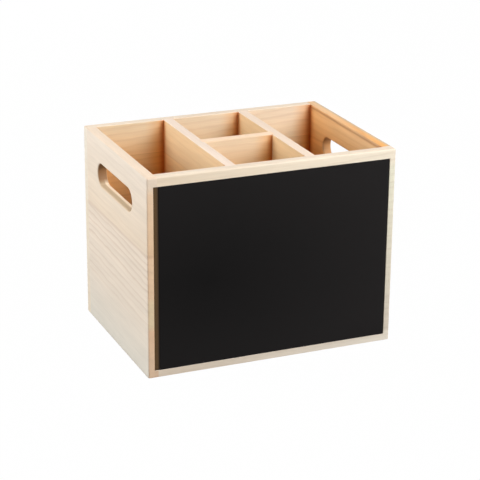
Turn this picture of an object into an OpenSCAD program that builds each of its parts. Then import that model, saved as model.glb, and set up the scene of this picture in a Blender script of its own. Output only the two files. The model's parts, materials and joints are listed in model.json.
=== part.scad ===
/* [Box] */
// Width of the caddy across its front
body_w = 250; // [180:1:360]
// Depth of the caddy from front to back
body_d = 180; // [140:1:280]
// Height of the caddy to its rim
body_h = 195; // [150:1:260]
// Thickness of the two side boards
side_t = 10; // [9:0.5:15]
// Thickness of the front and back boards
end_t = 10; // [9.5:0.5:15]
// Radius of the sanded outer and rim edges
arris_r = 1.5; // [0.5:0.1:2]

/* [Base] */
// Thickness of the plywood base
base_t = 6; // [4:0.5:9]
// Depth of the rebate that the base drops into
rebate_d = 4; // [3:0.5:5]
// Slip clearance round the base in its rebate
base_gap = 0.2; // [0.1:0.05:0.4]

/* [Dividers] */
// Thickness of the three divider boards
divider_t = 10; // [6:0.5:14]
// Depth of the housings that hold the ends of the dividers
housing_d = 2.5; // [1.5:0.1:3.2]
// Distance from the front of the box to the middle of the cross divider
cross_y = 90; // [60:1:110]
// Slip clearance of a divider in its housing
housing_gap = 0.1; // [0.05:0.05:0.25]

/* [Hand slots] */
// Length of a hand slot
slot_l = 98; // [70:1:110]
// Height of a hand slot
slot_h = 22; // [16:1:30]
// Distance from the rim down to the top of a hand slot
slot_drop = 25; // [18:1:36]
// Width of the bevel round a hand slot
slot_ease = 1.5; // [0.6:0.1:2.5]

/* [Chalkboard] */
// Width of the wooden border beside the chalkboard
border_side = 6.3; // [5:0.1:8]
// Height of the wooden border over the chalkboard
border_top = 9.3; // [6:0.1:30]
// Height of the wooden border under the chalkboard
border_bottom = 6.6; // [5:0.1:30]
// Thickness of the brown hardboard backing
backing_t = 2; // [1.5:0.1:2.5]
// Thickness of the black chalk sheet
sheet_t = 0.8; // [0.4:0.1:1]
// Depth of the chalk face behind the wooden border
face_inset = 0.2; // [0.1:0.1:0.5]
// Bare hardboard left showing at the left end of the chalk sheet
bare_margin = 5.3; // [0.5:0.1:10]
// Clearance round the chalkboard in its recess
panel_gap = 0.2; // [0.1:0.1:0.5]

/* [Fasteners] */
// Diameter of the corner dowels
dowel_d = 4; // [3:0.5:4]
// Length of the corner dowels
dowel_l = 20; // [14:1:26]
// Depth that a dowel goes into the board that covers the corner
dowel_in = 5; // [4:0.5:5.5]
// Number of dowels in each corner
dowel_n = 3; // [2:1:4]
// Height of the lowest dowel over the floor
dowel_low = 24; // [20:1:40]
// Distance from the rim down to the highest dowel
dowel_high = 24; // [20:1:40]
// Clearance round and behind a dowel
dowel_gap = 0.1; // [0.05:0.05:0.3]
// Shank diameter of the brads that hold the base
brad_d = 1.3; // [1:0.1:1.5]
// Length of a brad
brad_l = 16; // [12:1:20]
// Head diameter of a brad
brad_head_d = 2.3; // [2:0.1:2.6]
// Thickness of a brad's head
brad_head_t = 0.8; // [0.6:0.1:1]
// Distance from the corner of the base to its first brad
brad_inset = 30; // [20:1:40]
// Clearance round a brad
brad_gap = 0.05; // [0.02:0.01:0.1]

/* [Hidden] */
$fn = 48;
past = 1;                                  // how far a cut runs past a face
inner_w = body_w - 2 * side_t;
inner_d = body_d - 2 * end_t;
left_x = -body_w / 2;
front_y = -body_d / 2;
bay_w = (inner_w - 2 * divider_t) / 3;     // three bays of one width
divider_x = [left_x + side_t + bay_w, left_x + side_t + 2 * bay_w + divider_t];
cross_front = front_y + cross_y - divider_t / 2;
recess_d = backing_t + sheet_t + face_inset;
recess_x = left_x + border_side;
recess_w = body_w - 2 * border_side;
recess_h = body_h - border_top - border_bottom;
slot_z = body_h - slot_drop - slot_h / 2;
front_dowel_y = front_y + (recess_d + end_t) / 2;
back_dowel_y = -front_y - end_t / 2;
dowel_step = (body_h - dowel_low - dowel_high) / (dowel_n - 1);
brad_x = body_w / 2 - side_t + rebate_d / 2;
brad_y = body_d / 2 - end_t + rebate_d / 2;
brad_places = [
    for (x = [-brad_x, brad_x], y = [-1, 0, 1]) [x, y * (brad_y - brad_inset)],
    for (x = [-1, 1], y = [-brad_y, brad_y]) [x * (brad_x - brad_inset), y]
];

// What sanding takes off a square edge: a cut along +Z from the origin, with the wood
// towards +X and +Y. It runs on past both ends by over.
module arris(length, over = past) {
    translate([0, 0, -over])
    linear_extrude(length + 2 * over)
    difference() {
        translate([-past, -past]) square(arris_r + past);
        translate([arris_r, arris_r]) circle(arris_r);
    }
}

// The same cut along +X on a top edge, with the wood behind it, towards +Y
module rim_arris_x(at, length, over = past) {
    translate(at) rotate([0, 90, 0]) arris(length, over);
}

// The same cut along +Y on a top edge, with the wood to its right, towards +X
module rim_arris_y(at, length, over = past) {
    translate(at) rotate([-90, 0, 0]) arris(length, over);
}

// Whatever is drawn here, turned half round the box's upright middle line. The four boards
// follow each other round the box, each covering the end of the next, so a half turn brings
// the left board onto the right one and the front board onto the back one.
module half_turn() {
    rotate([0, 0, 180]) children();
}

// Whatever is drawn here, and its mirror image from left to right
module both_sides() {
    children();
    mirror([1, 0, 0]) children();
}

// The row of dowels up one corner, or their bores, running along +X from the covering board
// into the end of the other. at is where the two boards meet, on the dowels' middle line.
module dowel_row(at, gap) {
    for (i = [0 : dowel_n - 1])
        translate([at[0] - dowel_in - gap, at[1], dowel_low + i * dowel_step])
        rotate([0, 90, 0])
        cylinder(d = dowel_d + 2 * gap, h = dowel_l + 2 * gap);
}

// The row from the left board into the front board's end, behind the chalkboard's recess
module front_left_row(gap) {
    dowel_row([left_x + side_t, front_dowel_y], gap);
}

// The row from the right board into the back board's end
module back_right_row(gap) {
    half_turn() dowel_row([left_x + side_t, -back_dowel_y], gap);
}

// The row from the front board into the right board's end
module front_right_row(gap) {
    rotate([0, 0, 90]) dowel_row([front_y + end_t, left_x + side_t / 2], gap);
}

// The row from the back board into the left board's end
module back_left_row(gap) {
    half_turn() front_right_row(gap);
}

// The brads up through the edge of the base, or their holes
module brads(gap) {
    for (place = brad_places)
        translate([place[0], place[1], 0]) {
            cylinder(d = brad_d + 2 * gap, h = brad_l + gap);
            translate([0, 0, -gap]) cylinder(d = brad_head_d + 2 * gap, h = brad_head_t + 2 * gap);
        }
}

// The shallow recess for the chalkboard, across the front board and both side boards
module chalk_recess() {
    translate([recess_x, front_y - past, border_bottom])
    cube([recess_w, recess_d + past, recess_h]);
}

// The step round the inside of the four boards that the base drops into from below
module base_rebate() {
    translate([-inner_w / 2 - rebate_d, -inner_d / 2 - rebate_d, -past])
    cube([inner_w + 2 * rebate_d, inner_d + 2 * rebate_d, base_t + past]);
}

// All that is cut through the four boards of the box after they are brought together
module box_cuts() {
    chalk_recess();
    base_rebate();
    front_left_row(dowel_gap);
    front_right_row(dowel_gap);
    back_left_row(dowel_gap);
    back_right_row(dowel_gap);
    brads(brad_gap);
}

// A slot with round ends, through the left board, with a bevel round it on both faces
module hand_slot() {
    radius = slot_h / 2;
    reach = (slot_l - slot_h) / 2;
    flare = slot_ease + past;
    translate([left_x + side_t / 2, 0, slot_z]) {
        for (y = [-reach, reach])
            translate([0, y, 0]) rotate([0, 90, 0])
            cylinder(r = radius, h = side_t + 2 * past, center = true);
        cube([side_t + 2 * past, 2 * reach, slot_h], center = true);
        both_sides()
        translate([-side_t / 2 - past, 0, 0]) {
            for (y = [-reach, reach])
                translate([0, y, 0]) rotate([0, 90, 0])
                cylinder(r1 = radius + flare, r2 = radius, h = flare);
            translate([0, reach, 0]) rotate([90, 0, 0])
            linear_extrude(2 * reach)
            polygon([[0, -radius - flare], [flare, -radius], [flare, radius], [0, radius + flare]]);
        }
    }
}

// The housings that take the ends of the two long dividers, in the front board
module long_housings() {
    for (x = divider_x)
        translate([x - housing_gap, front_y + end_t - housing_d, base_t])
        cube([divider_t + 2 * housing_gap, housing_d + past, body_h]);
}

// The left side board. Its front end covers the front board's end and shows beside the
// chalkboard, and the back board covers its back end.
module side_board() {
    difference() {
        translate([left_x, front_y, 0]) cube([side_t, body_d - end_t, body_h]);
        hand_slot();
        translate([left_x, front_y, 0]) arris(body_h);
        rim_arris_x([left_x, front_y, body_h], side_t);
        rim_arris_y([left_x, front_y, body_h], body_d);
        translate([2 * (left_x + side_t), 0, 0]) mirror([1, 0, 0])
        rim_arris_y([left_x + side_t, front_y + end_t, body_h], inner_d, 0);
    }
}

// The front board. It runs from the left side board to the right face of the box, and covers
// the right board's end.
module end_board() {
    difference() {
        translate([-inner_w / 2, front_y, 0]) cube([inner_w + side_t, end_t, body_h]);
        long_housings();
        rim_arris_x([-inner_w / 2, front_y, body_h], inner_w + side_t);
        mirror([1, 0, 0]) {
            translate([left_x, front_y, 0]) arris(body_h);
            rim_arris_y([left_x, front_y, body_h], end_t);
        }
        translate([0, 2 * (front_y + end_t), 0]) mirror([0, 1, 0])
        rim_arris_x([-inner_w / 2, front_y + end_t, body_h], inner_w, 0);
    }
}

// A long divider whose left face is at x, with its ends held in the front and back boards
module long_divider(x) {
    tongue = housing_d - housing_gap;
    difference() {
        translate([x, -inner_d / 2 - tongue, base_t])
        cube([divider_t, inner_d + 2 * tongue, body_h - base_t]);
        rim_arris_y([x, -inner_d / 2, body_h], inner_d, 0);
        translate([2 * x + divider_t, 0, 0]) mirror([1, 0, 0])
        rim_arris_y([x, -inner_d / 2, body_h], inner_d, 0);
        cross_housing();
    }
}

// The space that the cross divider's ends need in the two long dividers
module cross_housing() {
    translate([-bay_w / 2 - housing_d, cross_front - housing_gap, base_t - past])
    cube([bay_w + 2 * housing_d, divider_t + 2 * housing_gap, body_h]);
}

module left_side() {
    color("#e6d3b8")
    difference() {
        side_board();
        box_cuts();
    }
}

module right_side() {
    color("#e6d3b8")
    difference() {
        half_turn() side_board();
        box_cuts();
    }
}

module front_board() {
    color("#ead8bd")
    difference() {
        end_board();
        box_cuts();
    }
}

module back_board() {
    color("#ead8bd")
    difference() {
        half_turn() end_board();
        box_cuts();
    }
}

module base_board() {
    color("#d9bd92")
    difference() {
        translate([-inner_w / 2 - rebate_d + base_gap, -inner_d / 2 - rebate_d + base_gap, 0])
        cube([inner_w + 2 * (rebate_d - base_gap), inner_d + 2 * (rebate_d - base_gap), base_t]);
        brads(brad_gap);
    }
}

module left_divider() {
    color("#e2cba6") long_divider(divider_x[0]);
}

module right_divider() {
    color("#e2cba6") long_divider(divider_x[1]);
}

module cross_divider() {
    tongue = housing_d - housing_gap;
    color("#dfc59d")
    difference() {
        translate([-bay_w / 2 - tongue, cross_front, base_t])
        cube([bay_w + 2 * tongue, divider_t, body_h - base_t]);
        rim_arris_x([-bay_w / 2, cross_front, body_h], bay_w, 0);
        translate([0, 2 * cross_front + divider_t, 0]) mirror([0, 1, 0])
        rim_arris_x([-bay_w / 2, cross_front, body_h], bay_w, 0);
    }
}

module panel_backing() {
    color("#574631")
    translate([recess_x + panel_gap, front_y + recess_d - backing_t, border_bottom + panel_gap])
    cube([recess_w - 2 * panel_gap, backing_t, recess_h - 2 * panel_gap]);
}

module chalk_sheet() {
    color("#232422")
    translate([recess_x + bare_margin, front_y + face_inset, border_bottom + panel_gap])
    cube([recess_w - bare_margin - panel_gap, sheet_t, recess_h - 2 * panel_gap]);
}

module front_left_dowels() {
    color("#d8b98a") front_left_row(0);
}

module front_right_dowels() {
    color("#d8b98a") front_right_row(0);
}

module back_left_dowels() {
    color("#d8b98a") back_left_row(0);
}

module back_right_dowels() {
    color("#d8b98a") back_right_row(0);
}

module base_brads() {
    color("#a8a9ab") brads(0);
}

left_side();
right_side();
front_board();
back_board();
base_board();
left_divider();
right_divider();
cross_divider();
panel_backing();
chalk_sheet();
front_left_dowels();
front_right_dowels();
back_left_dowels();
back_right_dowels();
base_brads();
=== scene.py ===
# %% [markdown]
# # A wooden utensil caddy
#
# This is a desk-top box for kitchen utensils: four pale boards round a plywood base, three
# dividers inside it, a hand slot through each side, and a black chalkboard let into the front.
# The construction model gives every size. This lesson takes its boards one at a time, makes
# each again with softened edges and clean faces, and gives each its wood. We start by loading
# the construction model, which never moves. Its lengths are in metres, so a short name for a
# millimetre keeps the numbers readable.

# %% Load the frame
import json
import math

import bmesh
import bpy
from mathutils import Matrix, Vector

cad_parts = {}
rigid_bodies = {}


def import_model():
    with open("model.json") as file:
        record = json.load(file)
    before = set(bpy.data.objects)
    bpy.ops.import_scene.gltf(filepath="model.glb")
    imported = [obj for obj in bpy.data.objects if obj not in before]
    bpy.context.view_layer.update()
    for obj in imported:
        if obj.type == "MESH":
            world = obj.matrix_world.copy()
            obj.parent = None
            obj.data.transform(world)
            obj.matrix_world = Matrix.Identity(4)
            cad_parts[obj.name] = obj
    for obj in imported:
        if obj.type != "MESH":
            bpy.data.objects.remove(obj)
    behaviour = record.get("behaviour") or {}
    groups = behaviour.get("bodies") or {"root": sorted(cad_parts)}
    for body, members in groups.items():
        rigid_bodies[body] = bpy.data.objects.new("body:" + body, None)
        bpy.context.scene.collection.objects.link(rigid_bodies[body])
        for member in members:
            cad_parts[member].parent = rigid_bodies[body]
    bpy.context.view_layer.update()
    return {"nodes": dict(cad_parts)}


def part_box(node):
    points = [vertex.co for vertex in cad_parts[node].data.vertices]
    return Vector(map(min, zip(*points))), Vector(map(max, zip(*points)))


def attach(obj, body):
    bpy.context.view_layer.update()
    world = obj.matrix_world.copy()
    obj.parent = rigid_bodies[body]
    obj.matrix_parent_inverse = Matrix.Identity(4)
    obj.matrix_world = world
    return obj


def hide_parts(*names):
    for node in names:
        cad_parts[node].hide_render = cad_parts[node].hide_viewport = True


MM = 0.001
for leftover in list(bpy.data.objects):
    bpy.data.objects.remove(leftover)
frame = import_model()

# %% [markdown]
# The construction says where each board lies. What it doesn't say, such as how far the
# chalkboard's recess is from the panel in it, is written here once.

# %% Sizes
PANEL_GAP = 0.2 * MM
BASE_GAP = 0.2 * MM
HOUSING_GAP = 0.1 * MM
SLOT_LENGTH = 98 * MM
SLOT_HEIGHT = 22 * MM
SLOT_DROP = 25 * MM

side_low, side_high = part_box("left_side")
front_low, front_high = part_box("front_board")
back_low, back_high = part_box("back_board")
base_low, base_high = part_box("base_board")
panel_low, panel_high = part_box("panel_backing")
sheet_low, sheet_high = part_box("chalk_sheet")
long_low, long_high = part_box("left_divider")
cross_low, cross_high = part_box("cross_divider")

rim = side_high.z
inner_front = front_high.y
inner_back = back_low.y
slot_middle = rim - SLOT_DROP - SLOT_HEIGHT / 2
slot_straight = (SLOT_LENGTH - SLOT_HEIGHT) / 2
recess_low = panel_low - Vector((PANEL_GAP, 0, PANEL_GAP))
recess_high = panel_high + Vector((PANEL_GAP, 0, PANEL_GAP))
rebate_low = base_low - Vector((BASE_GAP, BASE_GAP, 0))
rebate_high = base_high + Vector((BASE_GAP, BASE_GAP, 0))
bay_width = -2 * long_high.x
bay_pitch = bay_width + long_high.x - long_low.x
wall = side_high.x - side_low.x
print("rim height, mm:", round(rim / MM, 1), " wall, mm:", round(wall / MM, 1))
print("bays, mm:", round(bay_width / MM, 1), "wide, every", round(bay_pitch / MM, 1))

# %% [markdown]
# The photograph was taken from the front left and from above, with a long lens that keeps the
# box's sides almost parallel. Three angles, a distance and the point that the lens looks at
# place the camera. A new camera looks straight down. So we roll it, turn it up and then swing
# it round, which the matrices say from right to left.

# %% Camera
LENS = 130.0
AZIMUTH = math.radians(-23.05)
ELEVATION = math.radians(20.13)
ROLL = math.radians(0.52)
DISTANCE = 1.6968
AIM = Vector((2.5, -3.9, 90.4)) * MM
FARTHEST_SEEN = 20

turn = (
    Matrix.Rotation(AZIMUTH, 4, "Z")
    @ Matrix.Rotation(math.pi / 2 - ELEVATION, 4, "X")
    @ Matrix.Rotation(ROLL, 4, "Z")
)
camera = bpy.data.objects.new("camera", bpy.data.cameras.new("camera"))
camera.data.lens = LENS
camera.data.clip_end = FARTHEST_SEEN
camera.matrix_world = Matrix.Translation(AIM) @ turn @ Matrix.Translation((0, 0, DISTANCE))
bpy.context.scene.collection.objects.link(camera)
bpy.context.scene.camera = camera
print("camera at, mm:", [round(value / MM) for value in camera.matrix_world.translation])

# %% [markdown]
# Every new piece ends the same way: its mesh is written to an object at the origin, it rides on
# a body, it stands for one solid of the construction, and it takes the finish of a named slot.
# Nothing on this box moves, so it has one body.

# %% Finish a piece
BODY = "root"


def finish_piece(bm, name, material, node):
    """Turn a bmesh into the piece called name, which stands for that node."""
    bmesh.ops.recalc_face_normals(bm, faces=bm.faces[:])
    mesh = bpy.data.meshes.new(name)
    bm.to_mesh(mesh)
    bm.free()
    mesh.materials.append(material)
    piece = bpy.data.objects.new(name, mesh)
    bpy.context.scene.collection.objects.link(piece)
    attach(piece, BODY)
    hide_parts(node)
    print(f"{name}: {len(mesh.polygons)} faces")


print("the pieces ride on:", BODY)

# %% [markdown]
# A joiner cuts a board from a flat blank and takes steps out of it. We do it the other way
# round, which needs no cutting tool: a flat sheet is split along the lines where the board's
# thickness changes, and then it grows. The whole sheet is pulled out to the least thickness,
# then all but the thinnest parts are pulled further, and so on up to the full board. Each pull
# is one region extrusion. A board of several thicknesses keeps inside it the faces that its
# later pulls start from, where they don't show. The sheet's matrix has its width, height and
# normal for columns. The normals are worked out again at the end.

# %% Grow a board from a sheet
AXES = {"x": Vector((1, 0, 0)), "y": Vector((0, 1, 0)), "z": Vector((0, 0, 1))}
SHEET_PLANES = {"x": ("y", "z"), "y": ("x", "z"), "z": ("x", "y")}
HAIR = 1e-7
HAIR_DIGITS = 7


def flat_sheet(low, high, normal, at, cuts):
    """One flat rectangle square to an axis, split at each (axis, place) in cuts."""
    across, up = (AXES[axis] for axis in SHEET_PLANES[normal])
    middle = (low + high) / 2
    middle["xyz".index(normal)] = at
    span = high - low
    place = Matrix.Translation(middle) @ Matrix(
        (across * span.dot(across), up * span.dot(up), AXES[normal])
    ).transposed().to_4x4()
    bm = bmesh.new()
    bmesh.ops.create_grid(bm, x_segments=1, y_segments=1, size=0.5, matrix=place)
    for axis, where in cuts:
        bmesh.ops.bisect_plane(
            bm,
            geom=bm.verts[:] + bm.edges[:] + bm.faces[:],
            dist=HAIR,
            plane_co=AXES[axis] * where,
            plane_no=AXES[axis],
        )
    return bm


def grow(bm, faces, direction, thickness_at):
    """Pull a sheet out in steps, each face to the thickness asked for at its middle."""
    reached = 0.0
    levels = {round(thickness_at(face.calc_center_median()), HAIR_DIGITS) for face in faces}
    for level in sorted(levels):
        faces = [f for f in faces if thickness_at(f.calc_center_median()) > level - HAIR]
        pulled = bmesh.ops.extrude_face_region(bm, geom=faces)["geom"]
        corners = [item for item in pulled if isinstance(item, bmesh.types.BMVert)]
        faces = [item for item in pulled if isinstance(item, bmesh.types.BMFace)]
        bmesh.ops.translate(bm, verts=corners, vec=direction * (level - reached))
        reached = level
    bmesh.ops.recalc_face_normals(bm, faces=bm.faces[:])


print("sheets are split with a tolerance of", HAIR / MM, "mm")

# %% [markdown]
# Sanding rounds the edges that a hand meets, and only just breaks the others, such as those
# along a joint. Both are bevels. The helper picks sharp edges by where they lie: a number asks
# for that very plane, and a pair asks for a stretch. An empty choice takes them all.

# %% Pick and round edges
RIM_ROUND = 1.8 * MM
SLOT_ROUND = 2.0 * MM
INNER_ROUND = 1.0 * MM
TOUCH = 0.4 * MM
RIM_STEPS = 5
INNER_STEPS = 4
TOUCH_STEPS = 2
SHARP = math.radians(50)
ON_PLANE = 1e-6


def lies_in(corner, planes):
    """Whether a corner is on each asked plane, or within each asked stretch."""
    for axis, wanted in planes.items():
        value = getattr(corner, axis)
        low, high = wanted if isinstance(wanted, tuple) else (wanted, wanted)
        if not low - ON_PLANE < value < high + ON_PLANE:
            return False
    return True


def round_edges(bm, radius, steps, *choices):
    """Round over the sharp edges whose two ends both lie in one of the choices."""
    edges = [
        edge
        for edge in bm.edges
        if edge.is_manifold
        and edge.calc_face_angle() > SHARP
        and any(all(lies_in(vert.co, planes) for vert in edge.verts) for planes in choices)
    ]
    bmesh.ops.bevel(
        bm,
        geom=edges,
        offset=radius,
        segments=steps,
        profile=0.5,
        affect="EDGES",
        clamp_overlap=True,
        material=-1,
    )


rounds = (RIM_ROUND, SLOT_ROUND, INNER_ROUND, TOUCH)
print("rounded edges, mm:", [round(size / MM, 1) for size in rounds])

# %% [markdown]
# ## The wood
#
# Pale softwood boards like these are glued up from staves, and each stave comes from another
# place in a trunk. So the wood is made solid: growth rings are drawn round a pith that runs
# along the stave, some way off, and the faces cut through them where they may. Long faces then
# show streaks and arches, and ends show arcs, with nothing stretched.
#
# One small function adds a node. Its inputs may be plain values, hex colours, sockets, or whole
# nodes, which stand for their first output that is in use. An input is called by its number,
# or by its name where that says more.

# %% Colours and nodes
BLEND = {"data_type": "RGBA"}
STAIN = {"data_type": "RGBA", "blend_type": "MULTIPLY"}
EASED = {"interpolation_type": "SMOOTHSTEP"}


def linear(hex_colour):
    """An sRGB colour such as '#e8d5b5' as the linear colour that shaders take."""
    channels = [int(hex_colour[i : i + 2], 16) / 255 for i in (1, 3, 5)]
    return (*(c / 12.92 if c <= 0.04045 else ((c + 0.055) / 1.055) ** 2.4 for c in channels), 1)


def in_use(sockets, name=None):
    """The first socket that the node's settings leave in use, of that name if one is given."""
    return next(s for s in sockets if s.enabled and name in (None, s.name))


def add(tree, kind, inputs, stops=(), **settings):
    """Add a node of that kind. stops are a colour ramp's (place, level or hex colour) pairs."""
    node = tree.nodes.new("ShaderNode" + kind)
    for name, value in settings.items():
        setattr(node, name, value)
    for name, value in inputs.items():
        socket = node.inputs[name] if isinstance(name, int) else in_use(node.inputs, name)
        if isinstance(value, bpy.types.Node):
            value = in_use(value.outputs)
        if isinstance(value, bpy.types.NodeSocket):
            tree.links.new(value, socket)
        else:
            socket.default_value = linear(value) if isinstance(value, str) else value
    while stops and len(node.color_ramp.elements) < len(stops):
        node.color_ramp.elements.new(1.0)
    for number, (place, value) in enumerate(stops):
        mark = node.color_ramp.elements[number]
        mark.position = place
        mark.color = linear(value) if isinstance(value, str) else (value, value, value, 1)
    return node


def new_material(name):
    """An empty material's node tree, and the object's own coordinates in it."""
    material = bpy.data.materials.new(name)
    material.use_nodes = True
    tree = material.node_tree
    tree.nodes.clear()
    place = add(tree, "TexCoord", {}).outputs["Object"]
    return material, tree, add(tree, "SeparateXYZ", {0: place}).outputs


print("half grey, linear:", round(linear("#808080")[0], 3))

# %% [markdown]
# Three more helpers serve the patterns. Noise is stretched until its blobs have a real width
# and a real length along the grain, and then needs no scale of its own. Most of its values lie
# near the middle, from 0.3 to 0.7, so these are spread out again. A tone may drift: through
# heights on the box, as where one stave follows another, or from one end of a board to the
# other, as where it runs into the heart of the trunk.

# %% Patterns of a real size
NOISE = {"From Min": 0.3, "From Max": 0.7}


def blobs(tree, across, up, along, width, length):
    """Inputs for a noise whose blobs are that wide, and that long along the grain."""
    joined = add(tree, "CombineXYZ", {0: across, 1: up, 2: along})
    scale = (1 / width, 1 / width, 1 / length)
    return {"Vector": add(tree, "Mapping", {"Vector": joined, "Scale": scale}), "Scale": 1.0}


def at_height(tree, up, wanted):
    """A level or colour, or one that drifts with height through (height in mm, it) pairs."""
    if not isinstance(wanted, tuple):
        return wanted
    share = add(tree, "Math", {0: up, 1: rim}, operation="DIVIDE")
    return add(tree, "ValToRGB", {0: share}, stops=[(mm * MM / rim, it) for mm, it in wanted])


def drifting(tree, along, ends, wanted):
    """A colour, or a pair of them that turns from one into the other along the board."""
    if isinstance(wanted, str):
        return wanted
    share = add(tree, "MapRange", {"Value": along, "From Min": ends[0], "From Max": ends[1]})
    return add(tree, "Mix", {"Factor": share, "A": wanted[0], "B": wanted[1]}, **BLEND)


print("noise is spread out from", *NOISE.values())

# %% [markdown]
# Staves are counted up the board, from a glue joint at a known height. Each has a number of its
# own, and three dice rolled from that number choose its place in the trunk and its tint.

# %% Staves
STAVE = 41 * MM


def staves(tree, up, joint_at, stave, seed):
    """For each height: its stave's number, the share of the stave below, and its dice."""
    count = add(tree, "Math", {0: up, 1: joint_at}, operation="SUBTRACT")
    count = add(tree, "Math", {0: count, 1: stave}, operation="DIVIDE")
    whole = add(tree, "Math", {0: count}, operation="FLOOR")
    share = add(tree, "Math", {0: count, 1: 1.0}, operation="FLOORED_MODULO")
    number = add(tree, "Math", {0: whole, 1: float(seed)}, operation="ADD")
    chance = add(tree, "TexWhiteNoise", {"W": number}, noise_dimensions="1D")
    return number, share, add(tree, "SeparateColor", {0: chance.outputs["Color"]}).outputs


print("staves up the box:", round(rim / STAVE, 1))

# %% [markdown]
# The wood's measures are real ones. This fast-grown softwood lays down a ring of 6.5 mm a year.
# About the last third of it is the dark late wood, and some years show three times as plainly
# as others. The pith lies 15 to 40 mm behind the board's middle and 25 to 70 mm to one side of
# the stave, by lot. It leans a little, so the streaks run off aslant. Slow waves in the trunk
# bend the rings by one ring at most.

# %% Rings
RING = 6.5 * MM
PITH_DEPTH = {"To Min": 15 * MM, "To Max": 40 * MM}
PITH_ASIDE = {"To Min": 25 * MM, "To Max": 70 * MM}
PITH_LEAN = {"To Min": -0.06, "To Max": 0.06}
PLAIN_YEARS = {"To Min": 0.3, "To Max": 1.0}
WAVE = (12 * MM, 34 * MM)
WAVE_RINGS = 1.0
LATE_WOOD_IN_A_RING = [(0.0, 0.4), (0.1, 0.0), (0.55, 0.08), (0.88, 1.0), (1.0, 0.4)]


def late_wood(tree, across, up, along, number, share, dice, stave, lean):
    """How much of the dark late wood there is at each point, from 0 to 1."""
    depth = add(tree, "MapRange", {"Value": dice[0]} | PITH_DEPTH)
    aside = add(tree, "MapRange", {"Value": dice[1]} | PITH_ASIDE)
    if lean is None:
        lean = add(tree, "MapRange", {"Value": dice[2]} | PITH_LEAN)
    behind = add(tree, "Math", {0: across, 1: depth}, operation="ADD")
    height = add(tree, "Math", {0: share, 1: stave, 2: aside}, operation="MULTIPLY_ADD")
    beside = add(tree, "Math", {0: along, 1: lean, 2: height}, operation="MULTIPLY_ADD")
    from_pith = add(tree, "CombineXYZ", {0: behind, 1: beside})
    radius = add(tree, "VectorMath", {0: from_pith}, operation="LENGTH")
    years = add(tree, "Math", {0: radius, 1: RING}, operation="DIVIDE")
    slow = blobs(tree, across, up, along, *WAVE) | {"W": number}
    wave = add(tree, "TexNoise", slow, noise_dimensions="4D")
    bent = add(tree, "Math", {0: wave, 1: WAVE_RINGS, 2: years}, operation="MULTIPLY_ADD")
    year = add(tree, "Math", {0: bent}, operation="FRACT")
    which = add(tree, "Math", {0: bent}, operation="FLOOR")
    which = add(tree, "CombineXYZ", {0: which, 1: number})
    luck = add(tree, "TexWhiteNoise", {0: which}, noise_dimensions="2D")
    plain = add(tree, "MapRange", {"Value": luck} | PLAIN_YEARS)
    dark = add(tree, "ValToRGB", {0: year}, stops=LATE_WOOD_IN_A_RING)
    return add(tree, "Math", {0: dark, 1: plain}, operation="MULTIPLY")


print("rings across a stave:", round(STAVE / RING, 1))

# %% [markdown]
# The outer faces and the rim are sanded and limed almost white, and so are the boards' ends.
# The surface's own direction tells these apart: each is a level that goes from 0 to 1 as the
# surface turns that way, so a colour follows a rounded edge round.

# %% Which way a surface looks
ENDWAYS = {"From Min": 0.6, "From Max": 0.9}
UPWARDS = {"From Min": 0.3, "From Max": 0.8}
OUTWARDS = {"From Min": 0.3, "From Max": 0.8}
DOWNWARDS = {"From Min": -0.1, "From Max": -0.6}


def facing(tree, grain, outward):
    """How far the surface is a board's end, its rim, its outer face and an underside."""
    normal = add(tree, "NewGeometry", {}).outputs["Normal"]
    looks = add(tree, "SeparateXYZ", {0: normal}).outputs
    endways = add(tree, "Math", {0: looks[grain]}, operation="ABSOLUTE")
    is_end = add(tree, "MapRange", {"Value": endways} | ENDWAYS)
    is_rim = add(tree, "MapRange", {"Value": looks["Z"]} | UPWARDS)
    is_under = add(tree, "MapRange", {"Value": looks["Z"]} | DOWNWARDS)
    if outward is None:
        return is_end, is_rim, 0.0, is_under
    along_outward = add(tree, "VectorMath", {0: normal, 1: outward}, operation="DOT_PRODUCT")
    return is_end, is_rim, add(tree, "MapRange", {"Value": along_outward} | OUTWARDS), is_under


print("a face is all rim once its normal rises by", UPWARDS["From Max"])

# %% [markdown]
# The inner faces are pale by the rim and turn a warmer, darker honey further down: the wood's
# own colour, with painted shade for the depth of the bays. The right-hand corner of each bay is
# painted darker still, as painted shadow, and its last few millimetres darker again, as painted
# shade. The bays repeat across the box, so a remainder finds that corner of each, and the side
# boards' corners lie as far from the middle on both sides.

# %% Inner faces
# Painted shade: how deep it goes down the inner faces, and how wide it is in the corners.
SHADE_REACH = 42 * MM
CORNER = {"X": 22 * MM, "Y": 12 * MM}
CORNER_AT_RIM = 0.55
CORNER_SHADE_LINE = 7 * MM
CORNER_SHADE_TINT = "#dcb28b"


def in_corner(tree, grain, along, width):
    """1 where the board's face meets the next board, fading to 0 that far off."""
    if grain == "X":
        place = add(tree, "Math", {0: along, 1: long_high.x}, operation="SUBTRACT")
        place = add(tree, "Math", {0: place, 1: bay_pitch}, operation="FLOORED_MODULO")
        corner = bay_width
    else:
        place = add(tree, "Math", {0: along}, operation="ABSOLUTE")
        corner = inner_back
    limits = {"From Min": corner - width, "From Max": corner}
    return add(tree, "MapRange", {"Value": place} | limits, **EASED)


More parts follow.
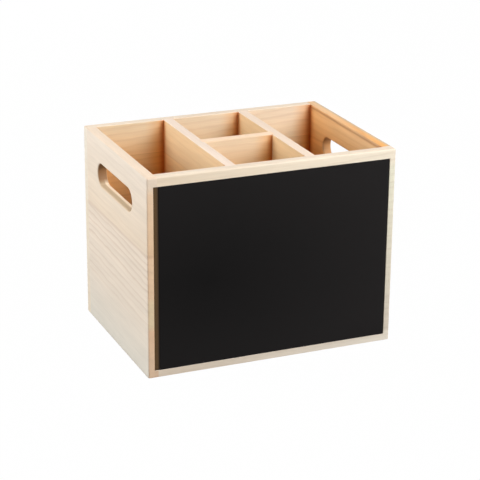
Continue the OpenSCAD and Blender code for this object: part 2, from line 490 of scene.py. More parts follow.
def inner_face(tree, grain, up, along, ends, limed, natural_in_shade, shaded):
    """An inner face: limed by the rim, darker below and in the corners, which is painted shade.
    """
    # Darker and warmer further down: the wood's own honey with painted shade.
    limits = {"From Min": rim, "From Max": rim - SHADE_REACH}
    below = add(tree, "MapRange", {"Value": up} | limits, **EASED)
    limed = drifting(tree, along, ends, limed)
    natural_in_shade = drifting(tree, along, ends, natural_in_shade)
    ground = add(tree, "Mix", {"Factor": below, "A": limed, "B": natural_in_shade}, **BLEND)
    # The corner's painted shadow, weaker by the rim.
    rises = add(tree, "MapRange", {"Value": below, "To Min": CORNER_AT_RIM})
    corner = in_corner(tree, grain, along, CORNER[grain])
    corner = add(tree, "Math", {0: corner, 1: rises}, operation="MULTIPLY")
    ground = add(tree, "Mix", {"Factor": corner, "A": ground, "B": shaded}, **BLEND)
    # A darker painted shade in the last few millimetres of the corner.
    painted_shade = in_corner(tree, grain, along, CORNER_SHADE_LINE)
    return add(tree, "Mix", {"Factor": painted_shade, "A": ground, "B": CORNER_SHADE_TINT}, **STAIN)


print("depth_shade reaches down the inner faces, mm:", round(SHADE_REACH / MM))

# %% [markdown]
# The hand slots were cut through the wash, so their faces are raw. The distance from a slot's
# middle line finds what was cut there. The round tips are brown, because there the fibres were
# cut across, and their shade is painted in as well. The roof is the darkest, which is painted
# shade. The floor has two tones, its inner half, the lip, and the rest, which are painted light
# and shade.

# %% Hand slots
CUT_EDGE = (SLOT_ROUND / 2, SLOT_ROUND / 10)
LIP_WIDTH = {"From Min": 0.3 * MM, "From Max": 1.3 * MM}
TIP = {"From Min": slot_straight + 4.4 * MM, "From Max": slot_straight + 8.8 * MM}


def cut_by_slot(tree, up, from_middle):
    """1 on the faces that a hand slot's cutter left, and 0 elsewhere."""
    radius = SLOT_HEIGHT / 2
    past = add(tree, "Math", {0: from_middle, 1: slot_straight}, operation="SUBTRACT")
    past = add(tree, "Math", {0: past, 1: 0.0}, operation="MAXIMUM")
    height = add(tree, "Math", {0: up, 1: slot_middle}, operation="SUBTRACT")
    reach = add(tree, "CombineXYZ", {0: past, 1: height})
    reach = add(tree, "VectorMath", {0: reach}, operation="LENGTH")
    limits = {"From Min": radius + CUT_EDGE[0], "From Max": radius + CUT_EDGE[1]}
    return add(tree, "MapRange", {"Value": reach} | limits)


def slot_face(tree, ground, inwards, up, along, is_under, colours):
    """Colour what a slot's cutter left. colours are for its floor, lip, tips and roof."""
    floor, lip, tips, roof = colours
    from_middle = add(tree, "Math", {0: along}, operation="ABSOLUTE")
    is_lip = add(tree, "MapRange", {"Value": inwards} | LIP_WIDTH)
    is_tip = add(tree, "MapRange", {"Value": from_middle} | TIP)
    # The floor's and lip's tones and the dark roof are painted light and shade; the tips are end
    # grain with painted shade.
    raw = add(tree, "Mix", {"Factor": is_lip, "A": floor, "B": lip}, **BLEND)
    raw = add(tree, "Mix", {"Factor": is_tip, "A": raw, "B": tips}, **BLEND)
    raw = add(tree, "Mix", {"Factor": is_under, "A": raw, "B": roof}, **BLEND)
    is_cut = cut_by_slot(tree, up, from_middle)
    return add(tree, "Mix", {"Factor": is_cut, "A": ground, "B": raw}, **BLEND)


print("slot, mm:", round(SLOT_LENGTH / MM), "by", round(SLOT_HEIGHT / MM))

# %% [markdown]
# A thin dark line of glue lies between two staves. The wash covers it on outer faces and ends,
# so it shows less there. Over the rings lie soft clouds of tone, some centimetres long, and the
# fibres. These are finer than a camera sees at this distance, and are drawn 0.7 mm wide.

# %% Glue joints and fibres
JOINT_TINT = "#a06a3c"
LIMED_JOINT = 0.4
FIBRE = (0.7 * MM, 40 * MM)
FIBRE_DETAIL = 3.0
FIBRE_TONES = {"To Min": 0.95, "To Max": 1.03}
CLOUD = (8 * MM, 70 * MM)
CLOUD_TONES = {"To Min": 0.94, "To Max": 1.03}


def glue_joint(tree, share, stave, joint, is_limed):
    """How dark the glue line is at each point. joint is its half width and its darkness."""
    apart = add(tree, "Math", {0: share, 1: 0.5}, operation="SUBTRACT")
    apart = add(tree, "Math", {0: apart}, operation="ABSOLUTE")
    limits = {"From Min": 0.5 - joint[0] / stave, "From Max": 0.5, "To Max": joint[1]}
    line = add(tree, "MapRange", {"Value": apart} | limits)
    left = add(tree, "MapRange", {"Value": is_limed, "To Min": 1.0, "To Max": LIMED_JOINT})
    return add(tree, "Math", {0: line, 1: left}, operation="MULTIPLY")


def fibres_and_clouds(tree, across, up, along, number):
    """The fibres' own relief, and the tone that fibres and clouds give the wood."""
    fine = blobs(tree, across, up, along, *FIBRE) | {"W": number, "Detail": FIBRE_DETAIL}
    wide = blobs(tree, across, up, along, *CLOUD) | {"W": number}
    fibres = add(tree, "TexNoise", fine, noise_dimensions="4D")
    clouds = add(tree, "TexNoise", wide, noise_dimensions="4D")
    streak = add(tree, "MapRange", {"Value": fibres} | NOISE | FIBRE_TONES)
    cloud = add(tree, "MapRange", {"Value": clouds} | NOISE | CLOUD_TONES)
    return fibres, add(tree, "Math", {0: streak, 1: cloud}, operation="MULTIPLY")


print("fibres, mm:", [round(size / MM, 1) for size in FIBRE])

# %% [markdown]
# The rings are a stain over the wood's ground colour: warm on the inner faces, greyer under the
# wash, and weaker on the ends, which are sanded finest. The rim's tone may differ in the strip
# towards the outside, where its rounded edge turns from the light: that strip is painted shade.

# %% Rings as a stain, and the rim
LATE_TINT = "#c08d58"
LIMED_LATE = "#b99a7c"
END_RINGS = 0.35
RIM_EDGE = 3 * MM


def ringed(tree, ground, late, figure, is_end, is_outer):
    """The ground stained with its rings. figure is how plainly they show."""
    on_end = add(tree, "MapRange", {"Value": is_end, "To Min": 1.0, "To Max": END_RINGS})
    shown = add(tree, "Math", {0: late, 1: figure}, operation="MULTIPLY")
    shown = add(tree, "Math", {0: shown, 1: on_end}, operation="MULTIPLY")
    tint = add(tree, "Mix", {"Factor": is_outer, "A": LATE_TINT, "B": LIMED_LATE}, **BLEND)
    return add(tree, "Mix", {"Factor": shown, "A": ground, "B": tint}, **STAIN)


def rim_tone(tree, across, along, ends, inward, tone, edge):
    """The rim's tone, and the painted shade of its outer strip if edge gives that."""
    tone = drifting(tree, along, ends, tone)
    if not edge:
        return tone
    outwards = add(tree, "Math", {0: across, 1: -inward}, operation="MULTIPLY")
    at_edge = add(tree, "MapRange", {"Value": outwards, "From Max": RIM_EDGE})
    return add(tree, "Mix", {"Factor": at_edge, "A": tone, "B": edge}, **BLEND)


print("share of the rings that an end shows:", END_RINGS)

# %% [markdown]
# All of this comes together in the pine of one board. To the eye, limed pine is matt and
# chalky, with its grain showing through. The tan of the inner faces comes first, and the outer
# face, the ends, the rim and the slot are laid over it. Each stave then gets its own tint, drawn
# by lot, unless the board is given a tone for each height. Rings, glue joints, fibres and clouds
# follow.

# %% Pine
LIMED = "#f0e6d8"
LIMED_RIM = "#f1dfc9"
LIMED_INSIDE = "#fae4c6"
# The deep inner colour is the wood's own honey with painted shade, and the next one is the
# painted shadow in the corners.
NATURAL_IN_SHADE = "#eec18a"
SHADED = "#f5ad52"
LIMED_END = "#efe5d5"
WARM_TINT = "#fdf6ea"
FAINT = 0.16
FIRST_JOINT = -2 * MM
FINE_JOINT = (0.6 * MM, 0.2)
SANDED = {"Strength": 0.2, "Distance": 0.1 * MM}
MATT_WOOD = 0.62


def pine(
    board,
    grain,
    seed,
    inward=None,
    outer=LIMED,
    rim_colour=LIMED_RIM,
    rim_edge_shade=None,
    limed=LIMED_INSIDE,
    natural_in_shade=NATURAL_IN_SHADE,
    shaded=SHADED,
    end=LIMED_END,
    slot=None,
    figure=FAINT,
    tones=None,
    stave=STAVE,
    lean=None,
    joint_at=FIRST_JOINT,
    joint=FINE_JOINT,
):
    """Solid staved softwood for one board.

    grain is the axis, X or Y, that the staves run along. inward is 1 or -1, the way along the
    other axis that the inner face looks. Without it, all but the rim and the ends is tan.
    outer, rim_colour, limed and natural may each be a pair of colours, for the board's two
    ends. end, figure and tones may be (height in mm, value) pairs. slot holds a hand slot's
    four colours. A glue joint lies at joint_at, and then one for every stave. joint is its half
    width and its darkness.
    """
    material, tree, place = new_material("pine_" + board)
    crosswise = "Y" if grain == "X" else "X"
    low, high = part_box(board)
    middle = getattr((low + high) / 2, crosswise.lower())
    ends = [getattr(corner, grain.lower()) for corner in (low, high)]
    across = add(tree, "Math", {0: place[crosswise], 1: middle}, operation="SUBTRACT")
    up, along = place["Z"], place[grain]
    outward = AXES[crosswise.lower()] * -inward if inward else None
    is_end, is_rim, is_outer, is_under = facing(tree, grain, outward)

    tan = inner_face(tree, grain, up, along, ends, limed, natural_in_shade, shaded)
    white = drifting(tree, along, ends, outer)
    ground = add(tree, "Mix", {"Factor": is_outer, "A": tan, "B": white}, **BLEND)
    end_tone = at_height(tree, up, end)
    ground = add(tree, "Mix", {"Factor": is_end, "A": ground, "B": end_tone}, **BLEND)
    top = rim_tone(tree, across, along, ends, inward, rim_colour, rim_edge_shade)
    ground = add(tree, "Mix", {"Factor": is_rim, "A": ground, "B": top}, **BLEND)
    if slot:
        inwards = add(tree, "Math", {0: across, 1: inward}, operation="MULTIPLY")
        ground = slot_face(tree, ground, inwards, up, along, is_under, slot)

    number, share, dice = staves(tree, up, joint_at, stave, seed)
    tint = {"Factor": dice[0], "B": WARM_TINT}
    if tones:
        tint = {"Factor": 1.0, "B": at_height(tree, up, tones)}
    ground = add(tree, "Mix", {"A": ground} | tint, **STAIN)
    late = late_wood(tree, across, up, along, number, share, dice, stave, lean)
    ground = ringed(tree, ground, late, at_height(tree, up, figure), is_end, is_outer)

    is_limed = add(tree, "Math", {0: is_outer, 1: is_end}, operation="MAXIMUM")
    line = glue_joint(tree, share, stave, joint, is_limed)
    ground = add(tree, "Mix", {"Factor": line, "A": ground, "B": JOINT_TINT}, **STAIN)
    fibres, tone = fibres_and_clouds(tree, across, up, along, number)
    colour = add(tree, "VectorMath", {0: ground, "Scale": tone}, operation="SCALE")
    relief = add(tree, "Bump", {"Height": fibres} | SANDED)
    surface = {"Base Color": colour, "Roughness": MATT_WOOD, "Normal": relief}
    add(tree, "OutputMaterial", {"Surface": add(tree, "BsdfPrincipled", surface)})
    return material


print("pine, limed from", NATURAL_IN_SHADE, "to", LIMED)

# %% [markdown]
# Each board has its own wood. The side boards are glued up from wider staves than the rest. On
# the left one the rings show most in a band below the hand slot, and it is painted greyer
# towards the foot, as painted shade. Its front end, which shows beside the chalkboard, changes
# tone in steps up the board. The right one is painted darker and more orange inside, as painted
# shade, and a joint runs just under its rim.

# %% Wood for the side boards
WIDE_STAVE = 120 * MM
UNDER_RIM = 2.7 * MM
LEFT_LEAN = -0.03
LEFT_JOINT = (2.5 * MM, 0.5)
RIGHT_JOINT = (2.0 * MM, 0.6)
BANDED = ((0, 0.0), (45, 0.05), (58, 0.3), (117, 0.3), (122, 0.1), (195, 0.05))
STREAKED = 0.3
# Greyer towards the foot: painted shade, with a change of tone where one stave meets the next.
LEFT_TONES = (
    (0, "#f2f6f6"), (50, "#fdf8f3"), (118, "#fff8f2"), (123, "#fcf2e6"), (195, "#fffaf6")
)
LEFT_END = (
    (0, "#f2cdac"), (46, "#f1ccaa"), (52, "#ecd8b5"), (74, "#ecd8b5"), (80, "#f3d4b2"),
    (178, "#f6dabb"), (186, "#f4e4d0"),
)
wood = {
    "left_side": pine(
        "left_side",
        "Y",
        seed=3,
        inward=1,
        end=LEFT_END,
        # The slot's floor, lip, tips and roof: raw wood with painted light and shade.
        slot=("#d2bfa3", "#fff2de", "#a07a52", "#7d5e3a"),
        figure=BANDED,
        tones=LEFT_TONES,
        stave=WIDE_STAVE,
        lean=LEFT_LEAN,
        joint_at=0,
        joint=LEFT_JOINT,
    ),
    "right_side": pine(
        "right_side",
        "Y",
        seed=11,
        inward=-1,
        rim_colour=("#f9b869", "#f7d0a4"),
        # The rim's darker outer strip is painted shade.
        rim_edge_shade="#dcc3a4",
        # Darker inside than the other boards, and darkest in the corner: painted shade.
        limed=("#f7d6aa", "#ebb97c"),
        natural_in_shade=("#ebb980", "#dfa565"),
        shaded="#c47c36",
        slot=("#e6c096", "#deae7c", "#cc9a66", "#b8824c"),
        figure=STREAKED,
        stave=WIDE_STAVE,
        joint_at=rim - UNDER_RIM,
        joint=RIGHT_JOINT,
    ),
}
print("side boards of pine:", len(wood))

# %% [markdown]
# The front board's upright stile, right of the chalkboard, is a little greyer than its rails,
# most of all near the foot, which is painted shade. Outside, the board is peach at its left end
# and paler at its right, which is painted light. Inside, the back board gets paler towards the
# box's right side, and its darker left end is painted shade. The long dividers are quieter,
# with faint rings, and are a pair, so one loop makes their wood.

# %% Wood for the other boards
# Greyer from the foot up the stile: painted shade.
FRONT_TONES = ((8, "#f2f4fa"), (14, "#e0dfe1"), (176, "#f2faf8"), (186, "#ffffff"))
QUIET = 0.08
wood["front_board"] = pine(
    "front_board",
    "X",
    seed=5,
    inward=1,
    # Peach at the left end and paler at the right: painted light.
    outer=("#f5e1c6", "#fbeed8"),
    end="#f6e2c4",
    tones=FRONT_TONES,
)
wood["back_board"] = pine(
    "back_board",
    "X",
    seed=8,
    inward=-1,
    # Darker and more orange at the left end: painted shade.
    limed=("#f0dab6", "#fbe9d2"),
    natural_in_shade=("#e8b270", "#fde6c2"),
)
for divider, seed in (("left_divider", 14), ("right_divider", 20)):
    wood[divider] = pine(
        divider,
        "Y",
        seed,
        rim_colour="#f8e4d2",
        limed="#f0d2a6",
        natural_in_shade="#f7d9ad",
        shaded="#f0c48c",
        figure=QUIET,
    )
wood["cross_divider"] = pine(
    "cross_divider", "X", seed=17, rim_colour="#fde0c3", natural_in_shade="#e8bb86"
)
print("boards of pine:", len(wood))

# %% [markdown]
# ## The side boards
#
# The four boards follow each other round the box, each covering the end of the next. So two of
# them are made in the place of the other two, and a half turn round the box's middle takes them
# to their own. The hand slot is a hole in the sheet before it grows: a ring of points is pulled
# apart into a slot with round ends, and the gap between it and its frame is filled.

# %% Hand slot and half turn
SLOT_POINTS = 64
SLOT_FRAME = 8 * MM
frame_reach = SLOT_LENGTH / 2 + SLOT_FRAME
frame_rise = SLOT_HEIGHT / 2 + SLOT_FRAME
frame_span = {
    "y": (-frame_reach, frame_reach),
    "z": (slot_middle - frame_rise, slot_middle + frame_rise),
}


def cut_slot(bm, x):
    """Open a slot with round ends in the sheet's face that holds its middle."""
    middle = Vector((x, 0, slot_middle))
    near = min(bm.faces, key=lambda face: (face.calc_center_median() - middle).length)
    frame_edges = near.edges[:]
    bmesh.ops.delete(bm, geom=[near], context="FACES_ONLY")
    half_step = Matrix.Rotation(math.pi / SLOT_POINTS, 4, "Z")
    stand = Matrix.Translation(middle) @ Matrix.Rotation(math.pi / 2, 4, "Y") @ half_step
    ring = bmesh.ops.create_circle(
        bm, cap_ends=False, segments=SLOT_POINTS, radius=SLOT_HEIGHT / 2, matrix=stand
    )["verts"]
    for vert in ring:
        vert.co.y += math.copysign(slot_straight, vert.co.y)
    ring_edges = list({edge for vert in ring for edge in vert.link_edges})
    bmesh.ops.triangle_fill(bm, use_beauty=True, edges=frame_edges + ring_edges)


def finish_board(bm, board, turned=False):
    """Finish a wooden board, after half a turn round the box's middle if turned says so."""
    if turned:
        half_turn = Matrix.Rotation(math.pi, 3, "Z")
        bmesh.ops.rotate(bm, verts=bm.verts[:], cent=(0, 0, 0), matrix=half_turn)
    finish_piece(bm, board + "_wood", wood[board], board)


print("slot's frame, mm:", round(2 * frame_reach / MM), "by", round(2 * frame_rise / MM))

# %% [markdown]
# A side board is 10 mm thick, but thinner along the foot of its inner face, where the base drops
# in. The left one is also thinner beside the chalkboard, where its front end shows.

# %% Side boards


def side_board(board, left):
    """The left side board, or the right one, which has no recess."""

    def thickness_at(point):
        """How thick the board is at a place on its face."""
        if left and point.y < recess_high.y and recess_low.z < point.z < recess_high.z:
            return recess_low.x - side_low.x
        if rebate_low.y < point.y and point.z < rebate_high.z:
            return rebate_low.x - side_low.x
        return wall

    cuts = [("y", y) for y in (recess_high.y, rebate_low.y, inner_front, *frame_span["y"])]
    cuts += [("z", z) for z in (recess_low.z, recess_high.z, rebate_high.z, *frame_span["z"])]
    bm = flat_sheet(side_low, side_high, "x", side_low.x, cuts)
    cut_slot(bm, side_low.x)
    grow(bm, bm.faces[:], AXES["x"], thickness_at)

    mouths = [{"x": x} | frame_span for x in (side_low.x, side_high.x)]
    round_edges(bm, SLOT_ROUND, RIM_STEPS, *mouths)
    outer = [
        {"x": side_low.x, "z": rim},
        {"x": side_low.x, "y": side_low.y},
        {"y": side_low.y, "z": rim},
    ]
    round_edges(bm, RIM_ROUND, RIM_STEPS, *outer)
    inner = {"x": side_high.x, "z": rim, "y": (inner_front, inner_back)}
    round_edges(bm, INNER_ROUND, INNER_STEPS, inner)
    beside_recess = {"y": side_low.y, "x": (recess_low.x, side_high.x)}
    foot_and_recess = [
        {"z": 0, "x": (side_low.x, side_low.x + RIM_ROUND)},
        {"z": 0, "y": (side_low.y, side_low.y + RIM_ROUND)},
        {"y": side_low.y, "x": recess_low.x, "z": (recess_low.z, recess_high.z)},
        beside_recess | {"z": recess_low.z},
        beside_recess | {"z": recess_high.z},
    ]
    round_edges(bm, TOUCH, TOUCH_STEPS, *foot_and_recess)
    finish_board(bm, board, turned=not left)


side_board("left_side", left=True)
side_board("right_side", left=False)

# %% [markdown]
# ## The front and back boards
#
# The dividers stand in upright housings in both boards, and the front board has a border round
# the chalkboard's recess. Two tests tell a place on a board from the rest by where it lies.

# %% Housings and border
housing_depth = inner_front - long_low.y + HOUSING_GAP
housings = [
    (box[0].x - HOUSING_GAP, box[1].x + HOUSING_GAP)
    for box in (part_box("left_divider"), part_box("right_divider"))
]


def in_housing(point):
    """Whether a place on an end board's face is in one of the dividers' housings."""
    return any(low < point.x < high for low, high in housings) and point.z > rebate_high.z


def in_border(face):
    """Whether a face of the front board's sheet lies beside the recess."""
    middle = face.calc_center_median()
    return middle.x > recess_high.x or not recess_low.z < middle.z < recess_high.z


print("housings, mm deep:", round(housing_depth / MM, 1))

# %% [markdown]
# The front board runs from the left board to the right face of the box. It is stepped on both
# faces: the recess outside, and the base's rebate and the housings inside. So its sheet lies at
# the floor of the recess and grows both ways. The back board only has the inner steps.

# %% Front and back boards


def end_board(board, front):
    """The front board, or the back one, which has no recess."""
    floor = recess_high.y if front else front_low.y

    def behind(point):
        """How thick the board is behind its sheet."""
        if point.z < rebate_high.z and point.x < rebate_high.x:
            return rebate_low.y - floor
        return inner_front - floor - (housing_depth if in_housing(point) else 0)

    cuts = [("x", edge) for pair in housings for edge in pair]
    cuts += [("x", -side_high.x), ("x", rebate_high.x), ("z", rebate_high.z)]
    if front:
        cuts += [("x", recess_high.x), ("z", recess_low.z), ("z", recess_high.z)]
    bm = flat_sheet(front_low, front_high, "y", floor, cuts)
    sheet = bm.faces[:]
    grow(bm, sheet, AXES["y"], behind)
    if front:
        border = [face for face in sheet if in_border(face)]
        grow(bm, border, -AXES["y"], lambda point: floor - front_low.y)

    outer = [
        {"y": front_low.y, "z": rim},
        {"x": front_high.x, "z": rim},
        {"y": front_low.y, "x": front_high.x},
    ]
    round_edges(bm, RIM_ROUND, RIM_STEPS, *outer)
    inner = {"y": inner_front, "z": rim, "x": (front_low.x, -side_high.x)}
    round_edges(bm, INNER_ROUND, INNER_STEPS, inner)
    foot_and_recess = [
        {"z": 0, "y": (front_low.y, front_low.y + RIM_ROUND)},
        {"z": 0, "x": (front_high.x - RIM_ROUND, front_high.x)},
        {"y": front_low.y, "z": recess_low.z},
        {"y": front_low.y, "z": recess_high.z},
        {"y": front_low.y, "x": recess_high.x},
    ]
    round_edges(bm, TOUCH, TOUCH_STEPS, *foot_and_recess)
    finish_board(bm, board, turned=not front)


end_board("front_board", front=True)
end_board("back_board", front=False)

# %% [markdown]
# ## The dividers
#
# The two long dividers stand in the housings of the front and back boards, and the short one
# stands in a housing in each of them. Their ends stay square inside the housings, and only the
# free stretch of each top edge is rounded. The right one is the mirror image of the left one,
# which turns it inside out until its faces are turned again as it is finished.

# %% Dividers


def long_divider(board, mirrored):
    """A long divider, with the cross divider's housing in its inner face."""
    full = long_high.x - long_low.x
    hollow = long_high.x - cross_low.x + HOUSING_GAP
    span = (cross_low.y - HOUSING_GAP, cross_high.y + HOUSING_GAP)
    free = (inner_front, inner_back)

    def thickness_at(point):
        """How thick the divider is at a place on its face."""
        return full - hollow if span[0] < point.y < span[1] else full

    bm = flat_sheet(long_low, long_high, "x", long_low.x, [("y", y) for y in (*span, *free)])
    grow(bm, bm.faces[:], AXES["x"], thickness_at)
    tops = [{"x": x, "z": rim, "y": free} for x in (long_low.x, long_high.x)]
    round_edges(bm, INNER_ROUND, INNER_STEPS, *tops)
    if mirrored:
        bmesh.ops.scale(bm, vec=(-1, 1, 1), verts=bm.verts)
    finish_board(bm, board)


def cross_divider():
    """The short divider across the middle bay."""
    free = (long_high.x, -long_high.x)
    bm = flat_sheet(cross_low, cross_high, "y", cross_low.y, [("x", x) for x in free])
    grow(bm, bm.faces[:], AXES["y"], lambda point: cross_high.y - cross_low.y)
    tops = [{"y": y, "z": rim, "x": free} for y in (cross_low.y, cross_high.y)]
    round_edges(bm, INNER_ROUND, INNER_STEPS, *tops)
    finish_board(bm, "cross_divider")


long_divider("left_divider", mirrored=False)
long_divider("right_divider", mirrored=True)
cross_divider()

# %% [markdown]
# ## The base and the chalkboard
#
# The base is plywood, which is matt and even to the eye. Its veneer was peeled round the log
# like paper off a roll, so the rings show as long, loose flames. A slow noise gives the height
# that the peel cut the log at, and its contour lines are the flames.

# %% Plywood
FLAME = (14 * MM, 130 * MM)
FLAME_DETAIL = 1.0
FLAME_LINES = 7.0
FLAME_STOPS = [(0.0, 0.0), (0.7, 0.15), (1.0, 0.8)]
VENEER = "#dcc49c"
VENEER_LINE = "#d9b684"
MATT_VENEER = 0.6


def plywood():
    """Birch plywood, its face grain along X."""
    material, tree, (x, y, z) = new_material("birch_plywood")
    height = add(tree, "TexNoise", blobs(tree, y, z, x, *FLAME) | {"Detail": FLAME_DETAIL})
    lines = add(tree, "Math", {0: height, 1: FLAME_LINES}, operation="MULTIPLY")
    lines = add(tree, "Math", {0: lines, 1: 1.0}, operation="PINGPONG")
    lines = add(tree, "ValToRGB", {0: lines}, stops=FLAME_STOPS)
    flame = add(tree, "Mix", {"Factor": lines, "A": VENEER, "B": VENEER_LINE}, **BLEND)
    fibres = add(tree, "TexNoise", blobs(tree, y, z, x, *FIBRE))
    streak = add(tree, "MapRange", {"Value": fibres} | NOISE | FIBRE_TONES)
    colour = add(tree, "VectorMath", {0: flame, "Scale": streak}, operation="SCALE")
    relief = add(tree, "Bump", {"Height": fibres} | SANDED)
    surface = {"Base Color": colour, "Roughness": MATT_VENEER, "Normal": relief}
    add(tree, "OutputMaterial", {"Surface": add(tree, "BsdfPrincipled", surface)})
    return material


print("flames, mm:", [round(size / MM) for size in FLAME])

# %% [markdown]
# The chalkboard is brown hardboard with a thin black sheet on it. Chalk leaves a haze in the
# black, most of all far from the place that a cloth wipes first. The haze is longer across the
# board than up it, because that is how a hand wipes, so the height counts for more.

# %% Chalk haze
FAINT_HAZE = 0.3
FAR_HAZE = 0.85
WIPED = Vector((-65, 0, 90)) * MM
WIPED_REACH = 200 * MM
WIPED_HEIGHT = 1.5


def chalk_haze(tree, x, z, share):
    """Chalk left in the black: none where it is wiped cleanest, most at the far corners."""
    aside = add(tree, "Math", {0: x, 1: WIPED.x}, operation="SUBTRACT")
    above = add(tree, "Math", {0: z, 1: WIPED.z}, operation="SUBTRACT")
    above = add(tree, "Math", {0: above, 1: WIPED_HEIGHT}, operation="MULTIPLY")
    away = add(tree, "CombineXYZ", {0: aside, 1: above})
    away = add(tree, "VectorMath", {0: away}, operation="LENGTH")
    away = add(tree, "MapRange", {"Value": away, "From Max": WIPED_REACH, "To Max": FAR_HAZE})
    faint = add(tree, "Math", {0: share, 1: FAINT_HAZE}, operation="MULTIPLY")
    return add(tree, "Math", {0: away, 1: faint}, operation="ADD")


print("the board is wiped cleanest at, mm:", [round(value / MM) for value in WIPED])

# %% [markdown]
# The black sheet stops short of the left end, so a strip of the hardboard stays bare, and beside
# the sheet it is painted darker, as painted shade. The dowels are turned beech, and the brads
# are cut from drawn steel wire. These four finishes drift between two near colours, so one
# function makes them.

# %% Speckled finishes
SPECK = (0.8 * MM, 0.8 * MM)
UNEVEN = {"Detail": 3.0, "Roughness": 0.6}
SHADE_BY_SHEET = "#2a1c10"
PRESSED = {"Strength": 0.15, "Distance": 0.1 * MM}


def speckled(name, dark, light, size, rough, shine, metal=0.0, wiped=False, painted_shade=None):
    """A finish that drifts between two near colours, in blobs of a (width, length).

    rough is its least and most roughness. The last argument is the x where a painted shade
    starts, and the x where it is darkest.
    """
    material, tree, (x, y, z) = new_material(name)
    drift = add(tree, "TexNoise", blobs(tree, x, y, z, *size) | UNEVEN)
    share = add(tree, "MapRange", {"Value": drift} | NOISE)
    if wiped:
        share = chalk_haze(tree, x, z, share)
    colour = add(tree, "Mix", {"Factor": share, "A": dark, "B": light}, **BLEND)
    # Beside the chalk sheet the hardboard is painted darker: painted shade.
    if painted_shade:
        limits = {"From Min": painted_shade[0], "From Max": painted_shade[1]}
        shade_by_sheet = add(tree, "MapRange", {"Value": x} | limits, **EASED)
        colour = add(tree, "Mix", {"Factor": shade_by_sheet, "A": colour, "B": SHADE_BY_SHEET}, **BLEND)
    specks = add(tree, "TexNoise", blobs(tree, x, y, z, *SPECK))
    relief = add(tree, "Bump", {"Height": specks} | PRESSED)
    limits = {"To Min": rough[0], "To Max": rough[1]}
    surface = {
        "Base Color": colour,
        "Roughness": add(tree, "MapRange", {"Value": drift} | NOISE | limits),
        "Specular IOR Level": shine,
        "Metallic": metal,
        "Normal": relief,
    }
    add(tree, "OutputMaterial", {"Surface": add(tree, "BsdfPrincipled", surface)})
    return material


print("specks, mm:", [round(size / MM, 1) for size in SPECK])

# %% [markdown]
# Each finish is named for its real material, and a line says what that gives the eye. Specks,
# flecks and scratches are really finer, and are drawn coarse enough to show.

# %% Chalkboard, dowel and brad finishes
HAZE = (70 * MM, 45 * MM)
WIRE_SCRATCH = (0.5 * MM, 4 * MM)
BEECH_FLECK = (1.5 * MM, 1.5 * MM)
# A chalk sheet is dead matt, so it looks deep black wherever there is no chalk.
chalk_black = speckled(
    "chalk_black", "#080707", "#1e1c1c", HAZE, rough=(0.62, 0.8), shine=0.08, wiped=True
)
# Hardboard is pressed wood fibre, dull brown with fine specks.
hardboard = speckled(
    "pressed_hardboard", "#4c371d", "#5d4527", SPECK, rough=(0.6, 0.75), shine=0.3,
    painted_shade=((panel_low.x + sheet_low.x) / 2, sheet_low.x),
)
# Beech has short flecks, and the lathe leaves it smooth.
beech = speckled(
    "turned_beech", "#cfac7b", "#dfc195", BEECH_FLECK, rough=(0.55, 0.65), shine=0.5
)
# Drawn wire is bright, and scratched along its length.
steel = speckled(
    "drawn_steel", "#9b9ca0", "#b9babd", WIRE_SCRATCH, rough=(0.25, 0.4), shine=0.5, metal=1.0
)
print("bare strip of hardboard, mm:", round((sheet_low.x - panel_low.x) / MM, 1))

# %% [markdown]
# The two sheets of the chalkboard are simple slabs with barely broken edges. The base, the
# dowels and the brads keep the construction's own solids, with their holes, and only change
# their finish.

# %% Chalkboard and hidden parts
SHEET_EDGE = 0.15 * MM


def slab(name, node, material):
    """A flat slab the size of a node, with its edges just broken."""
    low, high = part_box(node)
    bm = flat_sheet(low, high, "y", low.y, [])
    grow(bm, bm.faces[:], AXES["y"], lambda point: high.y - low.y)
    round_edges(bm, SHEET_EDGE, TOUCH_STEPS, {})
    finish_piece(bm, name, material, node)


slab("backing_slab", "panel_backing", hardboard)
slab("chalk_slab", "chalk_sheet", chalk_black)

kept = {"base_board": plywood(), "base_brads": steel}
for corner in ("front_left", "front_right", "back_left", "back_right"):
    kept[corner + "_dowels"] = beech
for name, material in kept.items():
    node = frame["nodes"][name]
    node.data.materials.clear()
    node.data.materials.append(material)
print("construction solids kept:", len(kept))

# %% [markdown]
# ## Stage and light
#
# The photograph's background is pure white. The floor is plain grey paper for the rays that
# carry light, so it keeps a faint shadow and throws little light back, and it glows white for
# the rays that look at it.

# %% Stage
FLOOR = 12.0
PAPER = "#a6a6a6"
WHITE = "#ffffff"
SEEN_WHITE = 0.995


def seen_directly(tree):
    """1 where a camera, mirror or see-through ray looks, and 0 for rays that carry light."""
    path = add(tree, "LightPath", {}).outputs
    looks = {0: path["Is Camera Ray"], 1: path["Is Glossy Ray"]}
    looks = {0: add(tree, "Math", looks, operation="MAXIMUM"), 1: path["Is Transmission Ray"]}
    return add(tree, "Math", looks, operation="MAXIMUM")


def white_paper():
    """Paper that looks white to the camera, and keeps a faint shadow."""
    material, tree, _ = new_material("white_paper")
    share = add(tree, "Math", {0: seen_directly(tree), 1: SEEN_WHITE}, operation="MULTIPLY")
    matt = add(tree, "BsdfDiffuse", {"Color": PAPER})
    glow = add(tree, "Emission", {"Color": WHITE, "Strength": 1.0})
    both = add(tree, "MixShader", {0: share, 1: matt, 2: glow})
    add(tree, "OutputMaterial", {"Surface": both})
    return material


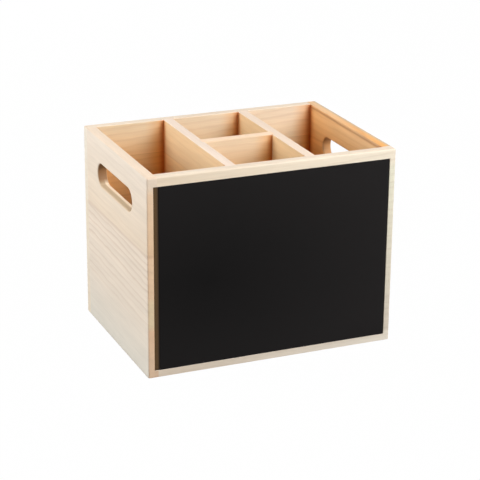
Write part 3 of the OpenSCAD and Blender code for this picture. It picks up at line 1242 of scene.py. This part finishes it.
bm = bmesh.new()
bmesh.ops.create_grid(bm, x_segments=1, y_segments=1, size=FLOOR / 2)
floor_mesh = bpy.data.meshes.new("floor")
bm.to_mesh(floor_mesh)
bm.free()
floor_mesh.materials.append(white_paper())
floor = bpy.data.objects.new("floor", floor_mesh)
bpy.context.scene.collection.objects.link(floor)
print("floor, m:", FLOOR)

# %% [markdown]
# The sky is made in the same way. It looks white, and lights the box only weakly from all
# sides, which keeps the bays from going black.

# %% World
FILL = 0.08
world = bpy.data.worlds.new("studio")
world.use_nodes = True
bpy.context.scene.world = world
tree = world.node_tree
tree.nodes.clear()
level = add(tree, "MapRange", {"Value": seen_directly(tree), "To Min": FILL, "To Max": 1.0})
sky = add(tree, "Background", {"Color": WHITE, "Strength": level})
add(tree, "OutputWorld", {"Surface": sky})
print("the sky lights the box at", FILL)

# %% [markdown]
# The left face is as bright as the front in the photograph, so a lamp stands on either side.
# The key light stands high at the front right, so that it reaches into the bays. The left one
# lights the left face, a weak one overhead lifts the rims, and a low one behind only reaches
# the back, which would be dark otherwise.

# %% Lamps
LAMPS_AIM = Vector((0, 0, 0.1))


def softbox(name, azimuth, elevation, distance, size, watts):
    """A square soft light: degrees round from the front and up, metres off, metres wide."""
    around, above = math.radians(azimuth), math.radians(elevation)
    reach = math.cos(above)
    away = Vector((math.sin(around) * reach, -math.cos(around) * reach, math.sin(above)))
    lamp = bpy.data.lights.new(name, "AREA")
    lamp.shape = "SQUARE"
    lamp.size = size
    lamp.energy = watts
    holder = bpy.data.objects.new(name, lamp)
    turned = away.to_track_quat("Z", "Y").to_matrix().to_4x4()
    holder.matrix_world = Matrix.Translation(LAMPS_AIM + away * distance) @ turned
    bpy.context.scene.collection.objects.link(holder)
    print(f"{name} lamp: {watts} W")


softbox("left", azimuth=-102, elevation=25, distance=1.3, size=0.75, watts=12.8)
softbox("key", azimuth=33, elevation=38, distance=1.5, size=1.1, watts=24)
softbox("top", azimuth=0, elevation=85, distance=1.6, size=0.8, watts=1.2)
softbox("back", azimuth=178, elevation=5, distance=1.5, size=0.7, watts=7.5)
bpy.context.scene.view_settings.view_transform = "Standard"
